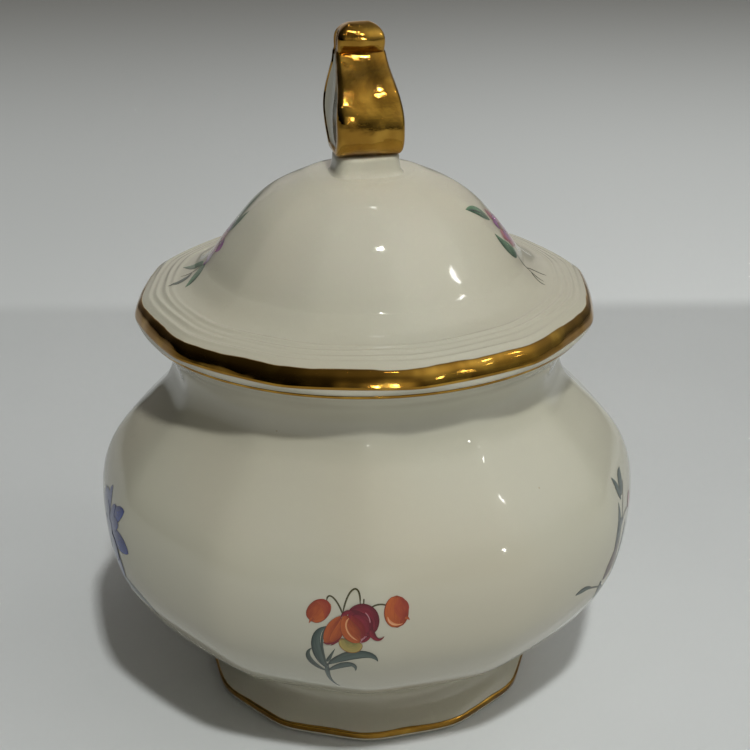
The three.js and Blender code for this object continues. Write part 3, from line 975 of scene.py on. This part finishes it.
class SUGARBOWL_OT_side_sprigs(Operator):
    """Print the flowers on the sides and the back of the bowl"""

    bl_idname = "sugarbowl.side_sprigs"
    bl_label = "Side and back sprigs"

    def execute(self, context):
        wall, onto = belly_wall(), wall_of("bowl_shell")
        # left: blue flower with a leaf below it
        sprig = Sprig(paints("leaf", "leaf_dark", "stem", "blue", "lavender", "purple"))
        sprig.stroke("stem", 0.4, [(1.0, -4.0), (3.0, -10.0), (7.2, -15.5)], "stem")
        sprig.stroke("leaf", 2.6, [(2.4, -8.0), (7.0, -7.4), (12.4, -9.6), (13.6, -13.2)], "leaf", 0.2)
        sprig.stroke("leaf_dark", 0.5, [(3.0, -8.3), (7.4, -8.2), (12.8, -12.2)], "stem")
        sprig.stroke("leaf", 2.2, [(2.6, -9.0), (-2.0, -12.0), (-4.0, -15.0)], "leaf")
        for k in range(5):
            angle = -2.4 + 0.42 * k
            tip = Vector((math.cos(angle), math.sin(angle))) * 7.4
            sprig.stroke("purple", 2.6, [tip * 0.2, tip * 0.6, tip], "petal")
        draw_bloom(sprig, 11, 9.2, 4.2, "blue", "blue", "lavender")
        sprig.lay("left_flower_print", wall, math.radians(-67), 40.0, onto, BOWL_BODY)
        # right: a spray of leaves
        sprig = Sprig(paints("leaf", "leaf_dark", "stem", "umber", "pink"))
        sprig.stroke("stem", 0.42, [(-13.0, -4.0), (-4.0, -4.5), (4.0, -12.0), (9.0, -17.5)], "stem")
        sprig.stroke("leaf_dark", 1.5, [(2.5, -10.5), (7.0, -12.0), (9.5, -17.5)], "leaf")
        sprig.stroke("leaf", 3.0, [(0.5, -7.6), (5.6, -4.0), (8.4, 2.0)], "leaf", 0.2)
        sprig.stroke("leaf", 2.6, [(-1.0, -1.0), (2.6, 3.0), (3.4, 8.0)], "leaf")
        sprig.stroke("umber", 2.8, [(-3.6, -5.4), (-1.0, -3.0), (1.6, 1.8)], "leaf", 0.2)
        sprig.stroke("leaf_dark", 1.2, [(-13.2, -4.2), (-10.6, -3.6), (-7.6, -5.0)], "leaf")
        sprig.stroke("leaf", 2.0, [(2.0, -10.2), (6.6, -10.0), (10.8, -7.0)], "leaf")
        sprig.stroke("leaf_dark", 1.5, [(-4.4, -5.0), (-3.6, -8.6), (-1.6, -12.0)], "leaf")
        sprig.stroke("leaf", 1.8, [(1.0, 2.8), (3.4, 4.2), (5.8, 3.4)], "leaf")
        sprig.stroke("stem", 0.32, [(0.0, -4.4), (2.4, 2.0), (7.4, 8.6), (10.4, 9.4)], "stem")
        sprig.stroke("leaf", 2.6, [(6.2, 8.0), (8.4, 10.8), (11.4, 11.8)], "leaf")
        sprig.stroke("leaf", 2.0, [(5.4, 7.6), (5.4, 10.2), (4.2, 12.8)], "leaf")
        sprig.stroke("stem", 0.3, [(4.6, 3.6), (8.6, 4.6), (11.8, 2.6)], "stem")
        sprig.stroke("pink", 2.4, [(11.4, 2.4), (12.8, 4.2), (15.2, 4.4)], "petal")
        sprig.lay("right_spray_print", wall, math.radians(61), 38.5, onto, BOWL_BODY)
        # back: a small rose with two leaves
        sprig = Sprig(paints("leaf", "leaf_dark", "mauve", "pink", "olive"))
        sprig.move = Vector((0, 7.0))
        draw_leaves(sprig)
        sprig.move = Vector((1.6, 21.4))
        draw_bloom(sprig, 7, 5.4, 3.4, "mauve", "pink", "olive", 0.9)
        sprig.lay("back_flower_print", wall, math.pi, 22.0, onto, BOWL_BODY)
        return {"FINISHED"}


class SUGARBOWL_OT_lid_sprigs(Operator):
    """Print the two sprigs on the sides of the dome"""

    bl_idname = "sugarbowl.lid_sprigs"
    bl_label = "Lid sprigs"

    def execute(self, context):
        brim, dome = brim_and_dome()
        wall = brim[::6] + dome[2:]
        onto = wall_of("lid_shell")
        sprig = Sprig(paints("leaf_green", "leaf_dark", "stem", "mauve", "pink", "olive"))
        sprig.size = 1.2
        sprig.stroke("stem", 0.34, [(0, -8.6), (1.2, -3.0), (0, 3.0)], "stem")
        sprig.stroke("leaf_green", 2.2, [(0.4, -4.0), (3.4, -5.0), (5.8, -8.0)], "leaf")
        sprig.stroke("leaf_green", 2.0, [(0.4, -4.6), (-2.8, -5.8), (-4.6, -9.0)], "leaf")
        sprig.stroke("leaf_green", 1.8, [(0.6, 2.6), (2.4, 4.6), (3.0, 7.6)], "leaf")
        sprig.stroke("leaf_green", 1.8, [(0.2, 3.4), (0.0, 7.0), (-2.0, 10.4)], "leaf")
        sprig.stroke("leaf_dark", 1.2, [(0.6, -6.6), (3.0, -8.4), (3.4, -10.6)], "leaf")
        draw_bloom(sprig, 6, 4.0, 2.8, "mauve", "pink", "olive")
        sprig.lay("lid_left_print", wall, math.radians(-88), 91.0, onto, LID_BODY)
        sprig = Sprig(paints("leaf_green", "leaf_dark", "stem", "mauve", "pink", "olive"))
        sprig.size = 1.15
        sprig.stroke("stem", 0.30, [(-2.6, -9.0), (-1.0, -3.0), (1.0, 3.0)], "stem")
        sprig.stroke("stem", 0.26, [(-1.8, -6.4), (-3.6, -7.6), (-4.0, -9.4)], "stem")
        sprig.stroke("stem", 0.26, [(-1.6, -5.6), (0.6, -7.2), (0.8, -9.4)], "stem")
        sprig.stroke("leaf_green", 3.2, [(-0.6, -2.2), (-3.6, -1.4), (-4.2, 2.6)], "leaf", 0.2)
        sprig.stroke("leaf_green", 2.6, [(-1.0, 4.4), (-2.4, 7.2), (-5.6, 8.6)], "leaf")
        sprig.stroke("leaf_dark", 0.4, [(-1.2, 4.8), (-2.6, 7.0), (-5.0, 8.2)], "stem")
        sprig.move = Vector((2.4, 1.8))
        draw_bloom(sprig, 6, 4.0, 2.8, "pink", "mauve", "olive")
        sprig.lay("lid_right_print", wall, math.radians(84), 91.5, onto, LID_BODY)
        return {"FINISHED"}


# ---------------------------------------------------------------- stage

LAMP_DISTANCE = 0.9
SMALL_GLINT = (1.0, 0.98, 0.93)

# soft light from the sides of the room: azimuth, elevation, focus and colour
ROOM_CORNER = (45, 45, 6, (0.43, 0.42, 0.36))
ROOM_WINDOW = (90, 45, 6, (0.66, 0.67, 0.70))
ROOM_LOW_RIGHT = (90, 12, 6, (0.14, 0.16, 0.12))
ROOM_BEHIND = (180, 12, 6, (0.56, 0.53, 0.48))
ROOM_FRONT = (8, 8, 50, (0.8, 0.8, 0.7))
ROOM_OVERHEAD = (0, 90, 1, (0.055, 0.055, 0.05))

CAMERA_PLACE = (0.00174, -0.26145, 0.17634)
CAMERA_DOWN = 23.44
CAMERA_ASIDE = -0.43

TABLE_EDGE = (0.197, 0.213)
# painted shade: the darker colour the floor fades to far off, where less light reaches
FAR_FLOOR_SHADE = (0.30, 0.297, 0.287)


def floor_material(stage):
    """A pale floor, plain but for painted light: lighter beyond the far edge of the table, more so on the
    right where the window light falls, and painted shade that makes it darker further off.
    """
    tree, material = new_material("pale_floor")
    place = node(tree, "ShaderNodeTexCoord").outputs["Object"]
    split = node(tree, "ShaderNodeSeparateXYZ", {0: place}).outputs
    # painted light: beyond the table edge the floor is painted lighter, standing for the lit wall
    wall = between(tree, split[1], *TABLE_EDGE)
    # painted shade: the floor goes darker further off, where less light reaches
    far = between(tree, split[1], 0.36, 1.05)
    # painted light: the wall part is painted lighter towards the right, where the window light falls
    right = between(tree, split[0], -0.14, 0.14)
    mottle = grain(tree, place, 30, 3.0)
    table = tuple(stage.floor)
    colour = blend_colour(tree, between(tree, mottle, 0.3, 0.7), table, tuple(c * 0.985 for c in table))
    # the painted-light colours of the wall part, the right one brighter
    left_wall_light, right_wall_light = (tuple(c * k for c in table) for k in (1.16, 1.38))
    colour = blend_colour(tree, wall, colour, blend_colour(tree, right, left_wall_light, right_wall_light))
    colour = blend_colour(tree, far, colour, FAR_FLOOR_SHADE)
    shader = node(tree, "ShaderNodeBsdfPrincipled", {
        "Base Color": colour, "Roughness": 0.62, "IOR": 1.4})
    close_up(tree, shader.outputs[0])
    return material


def lamp(name, azimuth, elevation, width, height, power, colour, aim=55 * MM, beam=180):
    """A rectangular lamp that looks at a height on the bowl's axis from an azimuth, 0 at the front."""
    data = bpy.data.lights.new(name, "AREA")
    data.shape = "RECTANGLE"
    data.size, data.size_y = width, height
    data.energy = power
    data.color = colour
    data.spread = math.radians(beam)
    made = bpy.data.objects.new(name, data)
    a, e = math.radians(azimuth), math.radians(elevation)
    way = Vector((math.sin(a) * math.cos(e), -math.cos(a) * math.cos(e), math.sin(e)))
    middle = Vector((0, 0, aim))
    made.location = middle + way * LAMP_DISTANCE
    made.rotation_euler = (-way).to_track_quat("-Z", "Y").to_euler()
    bpy.context.scene.collection.objects.link(made)
    return made


def room_side(tree, way, azimuth, elevation, focus, colour):
    """Soft coloured light from one side of the room, narrower for a higher focus."""
    a, e = math.radians(azimuth), math.radians(elevation)
    side = (math.sin(a) * math.cos(e), -math.cos(a) * math.cos(e), math.sin(e))
    facing = node(tree, "ShaderNodeVectorMath", {0: way, 1: side}, operation="DOT_PRODUCT").outputs["Value"]
    share = calc(tree, "POWER", calc(tree, "MAXIMUM", facing, 0.0), focus)
    return node(tree, "ShaderNodeVectorMath", {0: colour, "Scale": share}, operation="SCALE").outputs[0]


class SUGARBOWL_OT_stage(Operator):
    """Set the floor, the lamps and the camera"""

    bl_idname = "sugarbowl.stage"
    bl_label = "Stage"

    def execute(self, context):
        scene = context.scene
        stage = scene.sugar_bowl_stage
        scene.view_settings.view_transform = "Standard"
        scene.view_settings.look = "None"
        bm = bmesh.new()
        bmesh.ops.create_grid(bm, x_segments=4, y_segments=4, size=4.0)
        floor = finished(bm, "floor", [floor_material(stage)])

        ceiling = lamp("ceiling_lamp", 14, 57, 0.06, 0.045, stage.ceiling_power, (0.98, 1.0, 0.97))
        ceiling.visible_glossy = False
        lamp("ceiling_glint", 9, 64, 0.05, 0.016, 0.0015, (1.0, 0.98, 0.92), 100 * MM, 7)
        for name, azimuth, elevation, power in (
                ("knob_glint_left", -18, 40, 0.0005), ("knob_glint_top", 16, 50, 0.0007),
                ("knob_glint_low", 12, 14, 0.0003)):
            lamp(name, azimuth, elevation, 0.06, 0.035, power, (1.0, 0.97, 0.88), 120 * MM, 4)
        lamp("brim_glint", 4, 6, 0.12, 0.03, 0.0007, (1.0, 0.97, 0.90), 81 * MM, 4)
        fill = lamp("foot_fill", -8, 12, 0.25, 0.10, 0.006, (1.0, 0.97, 0.90), 6 * MM, 4)
        fill.visible_glossy = False
        lamp("window_gap", 77, 41, 0.026, 0.09, 0.20, (1.0, 0.98, 0.94))
        lamp("low_glint", 50, 17, 0.03, 0.03, 0.0003, SMALL_GLINT, 45 * MM, 6)
        lamp("side_glint", 68, 24, 0.03, 0.02, 0.00008, SMALL_GLINT, 45 * MM, 6)
        lamp("back_glint", 174, 71, 0.03, 0.02, 0.00008, SMALL_GLINT, 105 * MM, 6)

        world = scene.world or bpy.data.worlds.new("room")
        scene.world = world
        world.use_nodes = True
        tree = world.node_tree
        tree.nodes.clear()
        way = node(tree, "ShaderNodeTexCoord").outputs["Generated"]
        light = room_side(tree, way, *ROOM_CORNER)
        for side in (ROOM_WINDOW, ROOM_LOW_RIGHT, ROOM_BEHIND, ROOM_FRONT, ROOM_OVERHEAD):
            light = node(tree, "ShaderNodeVectorMath",
                         {0: light, 1: room_side(tree, way, *side)}, operation="ADD").outputs[0]
        background = node(tree, "ShaderNodeBackground", {"Color": light, "Strength": stage.room})
        node(tree, "ShaderNodeOutputWorld", {"Surface": background.outputs[0]})

        data = bpy.data.cameras.new("camera")
        data.sensor_width = 36.0
        data.lens = stage.lens
        data.clip_start = 0.01
        data.clip_end = 20.0
        camera = bpy.data.objects.new("camera", data)
        camera.location = CAMERA_PLACE
        look = (Matrix.Rotation(math.radians(90 - CAMERA_DOWN), 3, "X")
                @ Matrix.Rotation(math.radians(CAMERA_ASIDE), 3, "Z"))
        camera.rotation_euler = look.to_euler()
        scene.collection.objects.link(camera)
        scene.camera = camera
        return {"FINISHED"}


class SUGARBOWL_PT_panel(Panel):
    """The pieces of the sugar bowl and their sizes"""

    bl_label = "Sugar Bowl"
    bl_idname = "SUGARBOWL_PT_panel"
    bl_space_type = "VIEW_3D"
    bl_region_type = "UI"
    bl_category = "Sugar Bowl"

    def draw(self, context):
        scene = context.scene
        for group in (scene.sugar_bowl_sizes, scene.sugar_bowl_finishes, scene.sugar_bowl_stage):
            box = self.layout.box()
            for key in group.__annotations__:
                box.prop(group, key)
        for operator in OPERATORS:
            self.layout.operator(operator.bl_idname)


OPERATORS = (
    SUGARBOWL_OT_bowl, SUGARBOWL_OT_foot, SUGARBOWL_OT_lid, SUGARBOWL_OT_collar,
    SUGARBOWL_OT_plinth, SUGARBOWL_OT_scroll, SUGARBOWL_OT_front_sprig, SUGARBOWL_OT_side_sprigs,
    SUGARBOWL_OT_lid_sprigs, SUGARBOWL_OT_stage,
)
CLASSES = (BowlSizes, BowlFinishes, StageSettings, *OPERATORS, SUGARBOWL_PT_panel)


def register():
    """Registers the classes and the settings of the scene."""
    for each in CLASSES:
        bpy.utils.register_class(each)
    bpy.types.Scene.sugar_bowl_sizes = PointerProperty(type=BowlSizes)
    bpy.types.Scene.sugar_bowl_finishes = PointerProperty(type=BowlFinishes)
    bpy.types.Scene.sugar_bowl_stage = PointerProperty(type=StageSettings)


def unregister():
    """Takes away what register added."""
    del bpy.types.Scene.sugar_bowl_stage
    del bpy.types.Scene.sugar_bowl_finishes
    del bpy.types.Scene.sugar_bowl_sizes
    for each in reversed(CLASSES):
        bpy.utils.unregister_class(each)


def main():
    """Makes every piece."""
    register()
    bpy.ops.sugarbowl.bowl()
    bpy.ops.sugarbowl.foot()
    bpy.ops.sugarbowl.lid()
    bpy.ops.sugarbowl.collar()
    bpy.ops.sugarbowl.plinth()
    bpy.ops.sugarbowl.scroll()
    bpy.ops.sugarbowl.front_sprig()
    bpy.ops.sugarbowl.side_sprigs()
    bpy.ops.sugarbowl.lid_sprigs()
    bpy.ops.sugarbowl.stage()


if __name__ == "__main__":
    main()
